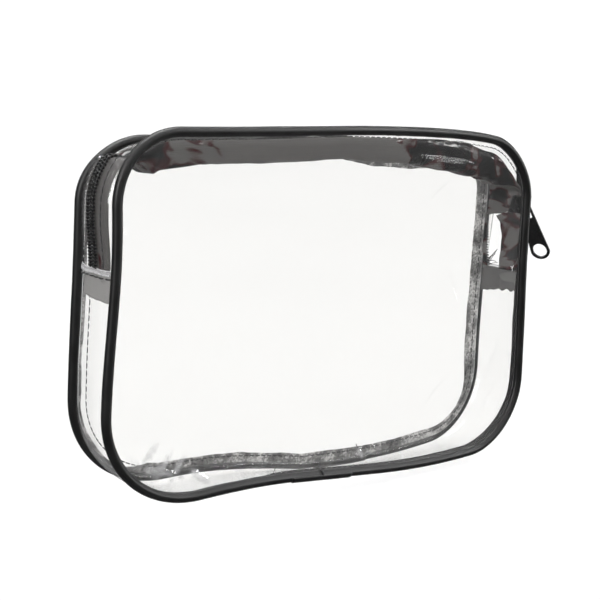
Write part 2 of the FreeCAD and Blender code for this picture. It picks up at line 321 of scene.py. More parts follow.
def gusset_point(d, y, lift):
    """A point of the plain gusset below the zip."""
    x, z, out_x, out_z = seam(d)
    dx, dz = bow_at(x, z, y)
    share = across(y)
    ripple = 0.35 * wander(d, 14, 3) * share * smooth((z - 12) / 20)
    n = wall_n + gusset_bulge * share + lift + ripple
    return Vector((x + dx + out_x * n, y, z + dz + out_z * n))


# Mesh making

def new_piece(name, points, faces, material, slot, uvs=None):
    """An object from points in mm; uvs has one (u, v) for each face corner, in metres."""
    mesh = bpy.data.meshes.new(name)
    mesh.from_pydata([tuple(c * M for c in p) for p in points], [], faces)
    if uvs:
        layer = mesh.uv_layers.new(name="UVMap")
        for loop_uv, uv in zip(layer.data, uvs):
            loop_uv.uv = uv
    mesh.validate()
    mesh.shade_smooth()
    mesh.materials.append(material)
    piece = add_object(name, mesh)
    return piece


def settle(piece):
    """Makes the piece's modifiers part of its mesh."""
    graph = bpy.context.evaluated_depsgraph_get()
    mesh = bpy.data.meshes.new_from_object(piece.evaluated_get(graph), depsgraph=graph)
    piece.modifiers.clear()
    piece.data = mesh


def thicken(piece, thickness):
    """Gives a surface its thickness, half to each side."""
    solid = piece.modifiers.new("thickness", "SOLIDIFY")
    solid.thickness = thickness * M
    solid.offset = 0
    solid.use_even_offset = True
    settle(piece)


def grid_faces(rows, close_rows, close_columns):
    """Faces and their UVs for a grid of points, row by row."""
    height, width = len(rows), len(rows[0])
    along, round_it = [0.0], [0.0]
    for i in range(height):
        along.append(along[-1] + (rows[(i + 1) % height][0] - rows[i][0]).length * M)
    for j in range(width):
        round_it.append(round_it[-1] + (rows[0][(j + 1) % width] - rows[0][j]).length * M)
    faces, uvs = [], []
    for i in range(height if close_rows else height - 1):
        for j in range(width if close_columns else width - 1):
            i2, j2 = (i + 1) % height, (j + 1) % width
            faces.append((i * width + j, i * width + j2, i2 * width + j2, i2 * width + j))
            for a, b in ((i, j), (i, j + 1), (i + 1, j + 1), (i + 1, j)):
                uvs.append((along[a], round_it[b]))
    return faces, uvs


def grid(name, rows, material, slot, thickness=0.0, close_rows=False, close_columns=False, capped=False):
    """A surface through rows of points; capped closes both ends of a bar."""
    faces, uvs = grid_faces(rows, close_rows, close_columns)
    points = [p for row in rows for p in row]
    if capped:
        width = len(rows[0])
        ends = (tuple(range(width)), tuple(len(points) - 1 - j for j in range(width)))
        for end in ends:
            faces.append(end)
            uvs.extend([(0.0, 0.0)] * width)
    piece = new_piece(name, points, faces, material, slot, uvs)
    if thickness:
        thicken(piece, thickness)
    return piece


def add_tube(parts, centres, radii, up, sides=6, closed=False):
    """Adds a round bar through the centres to parts, (points, faces)."""
    points, faces = parts
    first = len(points)
    count = len(centres)
    for i, centre in enumerate(centres):
        before = centres[i - 1] if closed or i else centres[0]
        after = centres[(i + 1) % count] if closed or i < count - 1 else centres[-1]
        ahead = (after - before).normalized()
        side = ahead.cross(up).normalized()
        high = side.cross(ahead)
        for k in range(sides):
            a = 2 * math.pi * k / sides
            points.append(centre + (side * math.cos(a) + high * math.sin(a)) * radii[i])
    for i in range(count if closed else count - 1):
        row, above = first + i * sides, first + (i + 1) % count * sides
        for k in range(sides):
            k2 = (k + 1) % sides
            faces.append((row + k, row + k2, above + k2, above + k))
    if not closed:
        faces.append(tuple(first + k for k in reversed(range(sides))))
        faces.append(tuple(first + (count - 1) * sides + k for k in range(sides)))


def tube_piece(name, lines, radius, material, slot, sides=8):
    """Loose threads and the like: round bars through lists of points."""
    parts = ([], [])
    for line in lines:
        add_tube(parts, line, [radius] * len(line), Vector((0.3, 0.2, 1)), sides)
    return new_piece(name, *parts, material, slot)


def curve_through(points, count):
    """Points along a smooth line through a few points."""
    made = []
    padded = [points[0] * 2 - points[1]] + points + [points[-1] * 2 - points[-2]]
    for i in range(count + 1):
        place = i / count * (len(points) - 1)
        k = min(int(place), len(points) - 2)
        t = place - k
        a, b, c, d = padded[k:k + 4]
        made.append(0.5 * (2 * b + (c - a) * t + (2 * a - 5 * b + 4 * c - d) * t * t
                           + (3 * b - a - 3 * c + d) * t * t * t))
    return made


def stitches(name, place, start, end, lift_direction, pitch=3.1, gap=0.55, radius=0.24):
    """A row of stitches: short threads that dip into the sheet at both ends."""
    parts = ([], [])
    steps = 6
    count = int((end - start) / pitch)
    for i in range(count):
        jitter = random.uniform(-0.12, 0.12)
        d0 = start + i * pitch + gap / 2 + jitter
        centres, radii = [], []
        for k in range(steps + 1):
            t = k / steps
            dip = 1 - (2 * t - 1) ** 4
            centres.append(place(d0 + t * (pitch - gap), radius * (1.3 * dip - 0.9)))
            radii.append(radius * (0.55 + 0.45 * dip))
        add_tube(parts, centres, radii, lift_direction(d0))
    return new_piece(name, *parts, materials["thread"], "black_thread")


# Materials

def emptied(owner, output):
    """The node tree of a material or world, with nothing but its output."""
    owner.use_nodes = True
    owner.node_tree.nodes.clear()
    owner.node_tree.nodes.new(output)
    return owner.node_tree


def shader(name):
    material = bpy.data.materials.new(name)
    return material, emptied(material, "ShaderNodeOutputMaterial")


def add(tree, kind, inputs=None, **settings):
    """A node with its settings; an input is a value, or an output to link to it."""
    made = tree.nodes.new(kind)
    for key, value in settings.items():
        setattr(made, key, value)
    for key, value in (inputs or {}).items():
        if isinstance(value, bpy.types.NodeSocket):
            tree.links.new(value, made.inputs[key])
        else:
            made.inputs[key].default_value = value
    return made


def ramp(tree, source, stops):
    """Colours along a ramp: stops are (place, (r, g, b))."""
    made = add(tree, "ShaderNodeValToRGB", {"Fac": source})
    elements = made.color_ramp.elements
    for extra in stops[2:]:
        elements.new(0.5)
    for element, (place, colour) in zip(elements, stops):
        element.position = place
        element.color = (*colour, 1)
    return made.outputs["Color"]


def levels(tree, source, *stops):
    """Greys or plain values along a ramp: stops are (place, value)."""
    return ramp(tree, source, [(place, (value, value, value)) for place, value in stops])


def object_coordinates(tree):
    return add(tree, "ShaderNodeTexCoord").outputs["Object"]


def metre_noise(tree, scale, detail=4.0, roughness=0.55, distortion=0.0):
    """Noise in the piece's own space; scale is in cells to the metre."""
    return add(tree, "ShaderNodeTexNoise", {
        "Vector": object_coordinates(tree), "Scale": scale, "Detail": detail, "Roughness": roughness,
        "Distortion": distortion,
    }).outputs["Fac"]


def bump(tree, height, strength, distance, normal=None):
    """A normal from a height; distance is in mm."""
    inputs = {"Height": height, "Strength": strength, "Distance": distance * M}
    if normal:
        inputs["Normal"] = normal
    return add(tree, "ShaderNodeBump", inputs).outputs["Normal"]


def combined(tree, operation, a, b):
    return add(tree, "ShaderNodeMath", {0: a, 1: b}, operation=operation).outputs[0]


def scaled(tree, source, times, plus):
    """source * times + plus, kept between 0 and 1."""
    return add(tree, "ShaderNodeMath", {0: source, 1: times, 2: plus}, operation="MULTIPLY_ADD",
               use_clamp=True).outputs[0]


def clear_vinyl(name, tint, haze, gloss, mirror):
    """Clear PVC sheet: light passes through, and each face mirrors more the flatter it is seen."""
    material, tree = shader(name)
    waves = metre_noise(tree, 45, detail=2.0, distortion=0.3)
    normal = bump(tree, waves, 0.12, 2.0)
    rough = levels(tree, metre_noise(tree, 160), (0.3, gloss), (0.75, gloss + 0.05))
    skin = add(tree, "ShaderNodeBsdfPrincipled", {
        "Base Color": (0.93, 0.93, 0.94, 1), "Metallic": mirror, "Roughness": rough, "Normal": normal,
    })
    through = add(tree, "ShaderNodeBsdfTransparent", {"Color": (*tint, 1)})
    flatness = add(tree, "ShaderNodeLayerWeight", {"Blend": 0.5, "Normal": normal}).outputs["Facing"]
    share = scaled(tree, combined(tree, "POWER", flatness, 5.0), 0.85, haze)
    # Painted highlight: along sharp creases more of the pale mirroring skin is mixed in, whitening them
    crease_glint = add(tree, "ShaderNodeAttribute", attribute_name="crease_highlight").outputs["Fac"]
    blend = add(tree, "ShaderNodeMixShader", {
        0: scaled(tree, crease_glint, 0.34, share), 1: through.outputs[0], 2: skin.outputs[0],
    })
    tree.links.new(blend.outputs[0], tree.nodes["Material Output"].inputs["Surface"])
    return material


def finished(material, inputs):
    """Closes a material with one Principled shader."""
    tree = material.node_tree
    skin = add(tree, "ShaderNodeBsdfPrincipled", inputs)
    tree.links.new(skin.outputs[0], tree.nodes["Material Output"].inputs["Surface"])
    return material


def black_vinyl():
    """Satin black vinyl with a fine leather grain and paler rubbed spots."""
    material, tree = shader("black_piping_vinyl")
    grain = add(tree, "ShaderNodeTexVoronoi", {"Vector": object_coordinates(tree), "Scale": 1900.0})
    rubbed = metre_noise(tree, 90, detail=5.0)
    colour = levels(tree, rubbed, (0.35, 0.004), (0.7, 0.010))
    rough = levels(tree, rubbed, (0.3, 0.34), (0.75, 0.46))
    fine = bump(tree, grain.outputs["Distance"], 0.25, 0.06)
    normal = bump(tree, metre_noise(tree, 260, detail=3.0), 0.3, 0.15, fine)
    return finished(material, {
        "Base Color": colour, "Roughness": rough, "Normal": normal, "Specular IOR Level": 0.42,
    })


def yarns(tree, scale, uneven, direction):
    """Fine uneven bands across the UV map."""
    return add(tree, "ShaderNodeTexWave", {
        "Vector": add(tree, "ShaderNodeTexCoord").outputs["UV"], "Scale": scale, "Distortion": uneven,
        "Detail": 1.0, "Detail Scale": 2.0,
    }, wave_type="BANDS", bands_direction=direction).outputs["Fac"]


def woven_tape(name, dark, stain, pale, gloss):
    """Zip tape: a fine weave, creased and mottled, slick where vinyl clings, with dark patches partly of
    painted shade.
    """
    material, tree = shader(name)
    weave = combined(tree, "MULTIPLY", yarns(tree, 1300, 1.2, "Y"), yarns(tree, 900, 0.8, "X"))
    along = add(tree, "ShaderNodeSeparateXYZ", {0: object_coordinates(tree)}).outputs["X"]
    middle = scaled(tree, along, 4.0, 0.5)
    # Placed by the piece's X: where this is high the tape keeps its pale colour, elsewhere it gets dark
    # patches of painted shade
    less_painted_shade = levels(tree, middle, (0.05, 0.24), (0.10, 0.04), (0.22, 0.04), (0.30, 0.24), (0.56, 0.24),
                 (0.68, 0.0))
    slick_and_painted_shade = combined(tree, "ADD", metre_noise(tree, 30, detail=2.0, distortion=2.2), less_painted_shade)
    # The stain colour rims the dark patches; on the zip tape it is a painted reddish reflection
    base = ramp(tree, slick_and_painted_shade, [(0.0, dark), (0.48, dark), (0.52, stain), (0.56, pale), (1.0, pale)])
    shade = levels(tree, weave, (0.2, 0.62), (0.8, 1.0))
    colour = add(tree, "ShaderNodeMix", {"Factor": 1.0, 6: base, 7: shade}, data_type="RGBA",
                 blend_type="MULTIPLY").outputs[2]
    slick = levels(tree, slick_and_painted_shade, (0.50, 1.0), (0.55, 0.0))
    creases = bump(tree, metre_noise(tree, 60, detail=1.0, distortion=1.0), 0.7, 3.0)
    return finished(material, {
        "Base Color": colour, "Roughness": gloss, "Specular IOR Level": 0.25,
        "Normal": bump(tree, weave, 0.4, 0.12),
        "Coat Weight": slick, "Coat Roughness": 0.08, "Coat Normal": creases,
    })


def bound_edge():
    """Soft grey fleece tape with a mottled face."""
    material, tree = shader("seam_binding_fleece")
    fibres = metre_noise(tree, 900, detail=6.0, roughness=0.7)
    both = combined(tree, "MULTIPLY", fibres, metre_noise(tree, 130))
    colour = ramp(tree, both, [(0.13, (0.02, 0.02, 0.02)), (0.25, (0.20, 0.197, 0.193)),
                               (0.36, (0.62, 0.61, 0.60))])
    return finished(material, {
        "Base Color": colour, "Roughness": 0.8, "Sheen Weight": 0.3,
        "Normal": bump(tree, fibres, 0.5, 0.25),
    })


def thread_material():
    material, tree = shader("black_sewing_thread")
    twist = add(tree, "ShaderNodeTexWave", {
        "Vector": object_coordinates(tree), "Scale": 900.0, "Distortion": 2.0,
    }, bands_direction="DIAGONAL").outputs["Fac"]
    colour = ramp(tree, twist, [(0.2, (0.006, 0.006, 0.007)), (0.9, (0.035, 0.034, 0.036))])
    return finished(material, {
        "Base Color": colour, "Roughness": 0.5, "Normal": bump(tree, twist, 0.6, 0.05),
    })


def nylon_coil():
    material, tree = shader("zip_coil_nylon")
    stain = metre_noise(tree, 400)
    colour = ramp(tree, stain, [(0.3, (0.004, 0.004, 0.004)), (0.75, (0.014, 0.014, 0.015))])
    rough = levels(tree, stain, (0.3, 0.25), (0.7, 0.42))
    return finished(material, {
        "Base Color": colour, "Roughness": rough, "Normal": bump(tree, stain, 0.2, 0.05),
        "Specular IOR Level": 0.3,
    })


def enamel(name, dark, pale, gloss):
    """Black enamel on cast metal, a little uneven, with small rubbed specks."""
    material, tree = shader(name)
    uneven = metre_noise(tree, 220, detail=3.0)
    specks = metre_noise(tree, 1500, detail=2.0)
    colour = ramp(tree, specks, [(0.55, dark), (0.78, pale)])
    rough = levels(tree, uneven, (0.3, gloss), (0.7, gloss + 0.12))
    return finished(material, {
        "Base Color": colour, "Roughness": rough, "Metallic": 0.35, "Coat Weight": 0.4,
        "Coat Roughness": 0.15, "Normal": bump(tree, uneven, 0.15, 0.1),
    })


materials = {
    "panel": clear_vinyl("clear_vinyl_panel", (0.978, 0.977, 0.973), 0.014, 0.03, 0.4),
    "gusset": clear_vinyl("clear_vinyl_gusset", (0.981, 0.980, 0.976), 0.035, 0.05, 0.8),
    "fold": clear_vinyl("clear_vinyl_fold", (0.93, 0.93, 0.935), 0.24, 0.10, 0.2),
    "piping": black_vinyl(),
    # The zip tape's stain colour is a painted reddish reflection, and its dark patches are partly
    # painted shade
    "tape": woven_tape("zip_tape_weave", (0.006, 0.005, 0.006), (0.06, 0.006, 0.008),
                       (0.175, 0.168, 0.163), 0.6),
    "tab": woven_tape("zip_end_weave", (0.20, 0.196, 0.192), (0.16, 0.156, 0.153),
                      (0.26, 0.255, 0.25), 0.7),
    # A paler copy of the zip end weave for the left tab: painted light standing for the gusset sheet's
    # reflection over it
    "left_tab_painted_lit": woven_tape("left_zip_end_weave_painted_lit", (0.44, 0.435, 0.43), (0.36, 0.355, 0.35),
                           (0.5, 0.49, 0.48), 0.7),
    "binding": bound_edge(),
    "thread": thread_material(),
    "coil": nylon_coil(),
    "slider": enamel("slider_enamel", (0.009, 0.009, 0.010), (0.05, 0.05, 0.05), 0.22),
    "pull": enamel("pull_enamel", (0.008, 0.008, 0.009), (0.04, 0.04, 0.04), 0.30),
}


# How pieces ride


def on_front(piece, *nodes):
    """A piece of the bag's front: hides the nodes it stands for and bakes its place into its mesh."""
    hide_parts(*nodes)
    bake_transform(piece)


def on_pouch(piece, *nodes):
    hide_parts(*nodes)
    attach(piece, "pouch")


# Panels

# Creases: x and z of both ends, width and height; the sharp ones get a painted highlight, more of the
# white mirroring skin along them
sharp_height = 1.0
front_creases = [
    (-110, 28, -88, 13, 1.6, 1.2), (-104, 14, -90, 32, 1.5, -1.1), (-98, 9, -84, 28, 1.4, 1.1),
    (-100, 22, -76, 12, 1.5, 1.0), (-88, 9, -78, 25, 1.4, -1.0), (-79, 18, -66, 8, 1.8, 1.2),
    (-84, 9, -40, 13, 1.3, 0.6), (9, 14, 15, 5, 1.4, 1.0), (14, 15, 24, 7, 1.2, 0.7),
    (103, 65, 76, 16, 1.8, 0.5), (84, 10, 107, 40, 1.5, -0.5), (-60, 7, -30, 10, 1.2, 0.5),
    (-106, 128, -88, 112, 2.5, 0.4), (30, 140, 80, 136, 1.6, 0.5),
]
back_creases = [
    (-100, 12, -76, 34, 1.6, 0.9), (70, 9, 100, 34, 1.6, 0.9), (102, 60, 88, 92, 1.7, 0.8),
    (-104, 120, -84, 104, 1.6, 0.8), (94, 132, 72, 116, 1.6, 0.8), (-20, 8, 34, 11, 1.4, 0.6),
    (-40, 140, 20, 137, 1.4, 0.6),
]


def crease_height(x, z, creases):
    """How far the sheet stands out at (x, z) over its soft creases."""
    total = 0.0
    for x1, z1, x2, z2, width, height in creases:
        run_x, run_z = x2 - x1, z2 - z1
        length = math.hypot(run_x, run_z)
        along = ((x - x1) * run_x + (z - z1) * run_z) / length
        aside = ((x - x1) * run_z - (z - z1) * run_x) / length
        fade = smooth(along / (0.4 * length)) * smooth((length - along) / (0.4 * length))
        total += 1.5 * height * fade * math.exp(-(aside / (0.8 * width)) ** 2)
    return total


def panel(name, side, belly, creases, seed):
    """A sheet with the seam line's outline, in rings from its edge to its middle."""
    around, rings = 420, 52
    inset = piping_radius - 0.05
    edge_y = side * (wall_y + sheet / 2)
    middle_z = (low_z + high_z) / 2
    sharp = [crease for crease in creases if abs(crease[5]) >= sharp_height]
    rows = []
    glint_weights = []
    for k in range(rings):
        share = 1 - (k / rings) ** 1.5
        row = []
        for i in range(around):
            d = loop_length * i / around
            p = seam_point(d, -inset, edge_y)
            x, z = p.x * share, mix(middle_z, p.z, share)
            rise = 1 - share ** 4
            near = 1 - math.exp(-((1 - share) / 0.05) ** 2)
            pucker = 0.16 * math.sin(d * 0.55 + 2 * wander(d, 40, seed)) * math.exp(-(1 - share) / 0.05)
            slack = 0.8 * noise.noise(Vector((x / 60, z / 60, seed)))
            crease = crease_height(x, z, creases)
            # Weights of the painted highlight along the sharp creases
            glint_weights.append(near * min(1.0, abs(crease_height(x, z, sharp))) ** 2)
            out = belly * rise + near * (slack + crease) + pucker * near
            row.append(Vector((x, edge_y + side * out, z)))
        rows.append(row)
    faces, uvs = grid_faces(rows, False, True)
    points = [p for row in rows for p in row]
    points.append(sum(rows[-1], Vector()) / around)
    last = len(rows) - 1
    for i in range(around):
        faces.append((last * around + i, last * around + (i + 1) % around, len(points) - 1))
        uvs.extend([(0.0, 0.0)] * 3)
    piece = new_piece(name, points, faces, materials["panel"], "clear_sheet", uvs)
    crease_glint = piece.data.attributes.new("crease_highlight", "FLOAT", "POINT")
    crease_glint.data.foreach_set("value", glint_weights + [0.0])
    thicken(piece, sheet)
    return piece


front_panel = panel("front_panel_sheet", -1, 1.2, front_creases, 1)
on_front(front_panel, "front_panel_upper", "front_panel_lower")
back_panel = panel("back_panel_sheet", 1, 1.4, back_creases, 2)
on_pouch(back_panel, "back_panel")


# Piping

def piping_section(side):
    """Round cover with a nip where it is sewn shut, as (n, y); side is -1 at the front."""
    section = []
    for a in spread(0, 2 * math.pi, 22)[:-1]:
        nip = math.exp(-((a - math.pi * 1.25) / 0.3) ** 2)
        radius = piping_radius * (1 - 0.14 * nip)
        section.append((radius * math.cos(a), -side * radius * math.sin(a)))
    return section


def piping(name, side, joint_x):
    """The whole ring, with its butt joint at joint_x."""
    start = distance_along_bottom(joint_x)
    rows = []
    for d in spread(start + 0.15, start + loop_length - 0.15, 420):
        swell = 1 + 0.025 * wander(d, 22, 4 + side)
        rows.append([seam_point(d, n * swell, side * half_depth + y * swell)
                     for n, y in piping_section(side)])
    return grid(name, rows, materials["piping"], "black_piping", close_columns=True, capped=True)


on_front(piping("front_piping_cover", -1, front_sleeve_x), "front_piping_upper",
         "front_piping_upper_cord", "front_piping_lower", "front_piping_lower_cord")
on_pouch(piping("back_piping_cover", 1, back_sleeve_x), "back_piping", "back_piping_cord")


def joint_sleeve(name, side, x, node):
    """A strip of vinyl wrapped over the butt joint, its ends cut a little askew."""
    first = distance_along_bottom(x) - sleeve_length / 2
    rows = []
    for t in spread(0, 1, 24):
        row = []
        for a in spread(-100, 100, 14):
            turn = math.radians(a)
            askew = 1.1 * math.sin(turn) * (1 - 2 * t)
            radius = piping_radius + 0.22 + 0.12 * smooth(4 * t) * smooth(4 - 4 * t)
            n, y = radius * math.cos(turn), radius * math.sin(turn)
            row.append(seam_point(first + t * sleeve_length + askew, n, side * half_depth - side * y))
        rows.append(row)
    on_pouch(grid(name, rows, materials["piping"], "black_piping", 0.35), node)


joint_sleeve("front_joint_sleeve", -1, front_sleeve_x, "front_piping_sleeve")
joint_sleeve("back_joint_sleeve", 1, back_sleeve_x, "back_piping_sleeve")


# Seam allowances and their stitching

def back_binding():
    """A fleece strip over the back seam's allowance, trimmed narrow at the left and the bottom."""
    outer, inner, uneven = -1.6, -9.3, 0.35
    rows = []
    for d in spread(0, loop_length, 480)[:-1]:
        x, z, out_x, out_z = seam(d)
        trimmed = max(0.5 * smooth((40 - z) / 30), smooth((-x - 0.6 * half_width) / 30))
        edge = mix(inner, outer - 1.0, trimmed) + uneven * (wander(d, 12, 14) + 0.4 * wander(d, 3, 15))
        wave = 0.12 * wander(d, 9, 16)
        rows.append([seam_point(d, mix(outer, edge, t), wall_y - 0.5 - wave * t)
                     for t in spread(0, 1, 4)])
    on_pouch(grid("back_seam_binding_tape", rows, materials["binding"], "seam_binding", 0.5,
                  close_rows=True), "back_seam_binding")


def turned_up(d):
    """How far the front seam's allowance stands up off the gusset at its free edge."""
    x, z, out_x, out_z = seam(d)
    return 1.7 * smooth((22 - z) / 18) * smooth((x + 0.45 * half_width) / 30)


def front_flange():
    """The piping's own seam allowance, sewn against the inside of the gusset."""
    widths = [(0, -11.0), (top_left_d - 30, -12.1), (top_right_d + 20, -12.1), (right_side_d, -9.4),
              (bottom_right_d + 150, -9.4), (loop_length - 60, -11.0)]
    rows = []
    for d in spread(0, loop_length, 480)[:-1]:
        edge = keyed(d, widths) + 0.25 * wander(d, 12, 11) + 0.1 * wander(d, 3, 12)
        ripple = 0.1 * wander(d, 9, 13)
        rows.append([front_gusset_point(d, mix(-12.6, edge, t), ripple - 0.28 - turned_up(d) * t)
                     for t in spread(0, 1, 5)])
    on_front(grid("front_piping_flange", rows, materials["piping"], "black_piping", 0.45,
                  close_rows=True), "front_seam_flange_upper", "front_seam_flange_lower")


def front_gusset_point(d, y, lift):
    """Beside the front seam on the gusset, lift outwards from the middle of its sheet."""
    if d % loop_length < zip_length:
        return zip_point(d % loop_length, y, sheet / 2 + lift)
    return gusset_point(d, y, sheet / 2 + lift)


front_flange()
back_binding()


def front_seam_stitch(d, lift):
    """On the gusset, but under the flange where that stands up."""
    under = 0.4 * turned_up(d) + 1.1 * min(1.0, turned_up(d))
    return front_gusset_point(d, -11.3, sheet / 2 + lift - under)


def back_seam_stitch(d, lift):
    return seam_point(d, -4.6, wall_y - 0.8 - lift)


def outwards(d):
    x, z, out_x, out_z = seam(d)
    return Vector((out_x, 0, out_z))


on_front(stitches("front_seam_stitches", front_seam_stitch, 0, loop_length, outwards),
         "front_seam_thread_upper", "front_seam_thread_lower")
on_pouch(stitches("back_seam_stitches", back_seam_stitch, 0, loop_length, lambda d: Vector((0, -1, 0))),
         "back_seam_thread")


# Plain gusset

gusset_rows = [[gusset_point(d, y, sheet / 2) for y in spread(-gusset_y, gusset_y, 16)]
               for d in spread(zip_length, loop_length, 220)]
gusset = grid("lower_gusset_sheet", gusset_rows, materials["gusset"], "clear_sheet", sheet)
on_pouch(gusset, "lower_gusset")


# Zip strips

open_start = zip_length - (slider_z - right_end_z)

# Distances down the open stretch, with how far from the middle each half ends there
closed_gap = 0.1
front_gaps = [(0, closed_gap), (2.5, -4.0), (5.0, -8.6), (9.0, -6.0), (16.0, -3.4), (24.0, -2.0),
              (34.0, 0.0)]
back_gaps = [(0, closed_gap), (3.0, 6.0), (5.5, 11.6), (20.0, 11.0), (34.0, 9.4)]
gap_hang = -3.0


def coil_edge(d, side):
    """How far from the middle a half of the zip ends; open, the back half lies against its seam."""
    return keyed(d - open_start, front_gaps if side < 0 else back_gaps)


def strip_lift(d, y, side):
    """Soft waves of the zip strips; where the zip is open their edges hang in."""
    x, z, out_x, out_z = seam(d)
    seed = 20 + side
    loose = across(y) * smooth((peak_z + 18 - z) / -10)
    waves = loose * (0.7 * wander(d, 26, seed) + 0.35 * wander(d, 9, seed + 1))
    parted = smooth((d - open_start) / 8)
    return waves + gap_hang * parted * smooth((gusset_y - y) / (gusset_y - 1.0))


def zip_strip_piece(name, side, ys_at, thickness, material, slot):
    """A strip along the zip; ys_at gives its points across at the distance d, as (height, y)."""
    rows = [[zip_point(d, side * y, lift + strip_lift(d, y, side)) for lift, y in ys_at(d, side)]
            for d in spread(0, zip_length, 260)]
    return grid(name, rows, material, slot, thickness)


def facing_edge(d, side):
    """The edge beside the coil, where the facing is folded under."""
    return min(coil_edge(d, side) + 5.9, gusset_y - 0.9)


def facing_across(d, side):
    """From the front or back seam over the tape, round the fold and back under it."""
    edge = facing_edge(d, side)
    under = min(edge + 2.6, gusset_y - 0.1)
    over = [(0.25, y) for y in spread(gusset_y, edge, 7)]
    return over + [(-0.1, edge - 0.35)] + [(-0.45, y) for y in spread(edge, under, 3)[1:]]


def tape_across(d, side):
    """From under the facing to the coil."""
    inner = coil_edge(d, side)
    narrow = 8.8 if side < 0 else 5.4
    outer = keyed(d, [(0, narrow), (top_left_d - 44, narrow), (top_left_d - 15, 11.6),
                      (top_left_d + 110, 11.65), (top_left_d + 138, 11.8), (top_right_d - 18, 11.6),
                      (top_right_d, 11.1), (top_right_d + 22, 10.8), (right_side_d, 11.4)])
    return [(-0.75, y) for y in spread(max(outer, inner + 1.2), inner, 10)]


def coil_half(name, side):
    """A wire wound in loops round a core, whose heads reach between those of the other half."""
    pitch = 1.3
    wire = 0.36
    loop_steps = 10
    parts = ([], [])
    reach = coil_width / 2 - wire + 0.12
    rise = coil_height / 2 - wire
    offset = 0 if side < 0 else pitch / 2
    for i in range(int(zip_length / pitch) - 1):
        d0 = 1.0 + i * pitch + offset
        centre_y = coil_edge(d0, side) + coil_width / 2 - 0.15
        hang = strip_lift(d0, centre_y, side)
        centres, radii = [], []
        for k in range(loop_steps):
            a = 2 * math.pi * k / loop_steps
            y = side * (centre_y - reach * math.cos(a))
            lift = coil_height / 2 - 0.35 + rise * math.sin(a)
            centres.append(zip_point(d0 + 0.25 * pitch * math.sin(a + 0.6), y, lift + hang))
            radii.append(wire * (1 + 0.22 * max(0.0, math.cos(a)) ** 2))
        x, z, out_x, out_z = seam(d0)
        add_tube(parts, centres, radii, Vector((out_z, 0, -out_x)), 5, closed=True)
    core = []
    for d in spread(0.8, zip_length - 0.8, 200):
        y = coil_edge(d, side) + coil_width / 2
        core.append(zip_point(d, side * y, coil_height / 2 - 0.4 + strip_lift(d, y, side)))
    add_tube(parts, core, [0.5] * len(core), Vector((0, 1, 0)), 6)
    return new_piece(name, *parts, materials["coil"], "zip_coil")


def zip_half(label, side, put):
    """A facing, the tape under it, its half of the coil and their row of stitches."""
    put(zip_strip_piece(label + "_facing_sheet", side, facing_across, 0.42, materials["gusset"],
                        "clear_sheet"), label + "_zip_facing")
    put(zip_strip_piece(label + "_zip_tape_cloth", side, tape_across, 0.5, materials["tape"],
                        "zip_tape"), label + "_zip_tape")
    put(coil_half(label + "_zip_coil_loops", side), label + "_zip_coil")

    def stitch_place(d, lift):
        y = facing_edge(d, side) + 1.1
        return zip_point(d, side * y, sheet + 0.1 + lift + strip_lift(d, y, side))

    put(stitches(label + "_facing_stitches", stitch_place, 1, zip_length - 1, outwards),
        label + "_facing_thread")


zip_half("front", -1, on_front)
zip_half("back", 1, on_pouch)


# Zip ends: tape tabs under the gusset, the gusset's turned edge and the seam across it

def end_tab(name, node, start, step, seed, ragged_by, slant, material):
    """The tape's end: two thicknesses laid over each other with a fold along the middle."""
    length, half_span = 11.0, 11.2
    rows = []
    for t in spread(0, 1, 12):
        row = []
        for u in spread(-1, 1, 24):
            y = half_span * u
            ragged = 1 + ragged_by * wander(y, 3, seed) + slant * u
            fold = 0.5 * math.exp(-((y - 1.2) / 0.9) ** 2)
            row.append(gusset_point(start + step * t * length * ragged, y, -0.75 + fold))
        rows.append(row)
    on_pouch(grid(name, rows, materials[material], "zip_tape", 0.5), node)


# The left tab takes the paler, painted-lit copy of the weave
end_tab("left_end_tab_cloth", "left_zip_end_tab", loop_length, -1, 31, 0.02, -0.06, "left_tab_painted_lit")
end_tab("right_end_tab_cloth", "right_zip_end_tab", zip_length, 1, 33, 0.10, 0.16, "tab")


def turned_edge(name, start, step):
    """The gusset's end: a doubled strip with a rounded fold over the zip's end."""
    fold = ((1.0, 0.45), (0.4, 0.5), (-0.3, 0.7), (0.3, 0.9), (0.7, 0.95), (1.2, 0.9))
    rows = [[gusset_point(start + step * (t + 0.25 * wander(y, 6, start)), y, lift)
             for y in spread(-gusset_y, gusset_y, 24)] for t, lift in fold]
    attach(grid(name, rows, materials["fold"], "clear_sheet", 0.4), "pouch")


turned_edge("left_turned_edge", loop_length, -1)
turned_edge("right_turned_edge", zip_length, 1)


def cross_stitches(name, node, d):
    """The row across the gusset that holds the turned edge."""
    def place(y, lift):
        return gusset_point(d, y, 1.0 + lift)

    reach = gusset_y - 0.5
    on_pouch(stitches(name, place, -reach, reach, lambda y: outwards(d), 3.3, 1.0, 0.42), node)


cross_stitches("left_cross_stitches", "left_end_thread", loop_length - 2.2)
cross_stitches("right_cross_stitches", "right_end_thread", zip_length + 2.2)


# Slider and pull, made in the slider's own frame: X out from the zip, Z along it

slider_lean = math.atan(lean)
slider_x = half_width + wall_n + bulge(slider_d, slider_z)
slider_origin = Vector((slider_x, slider_shift, slider_z))
slider_place = Matrix.Translation(slider_origin) @ Matrix.Rotation(slider_lean, 4, "Y")
slider_length = 11.0
metal = (materials["slider"], "slider_metal")


def arc_points(centre_y, centre_z, radius, start, end, count):
    angles = [math.radians(a) for a in spread(start, end, count)]
    return [(centre_y + radius * math.cos(a), centre_z + radius * math.sin(a)) for a in angles]


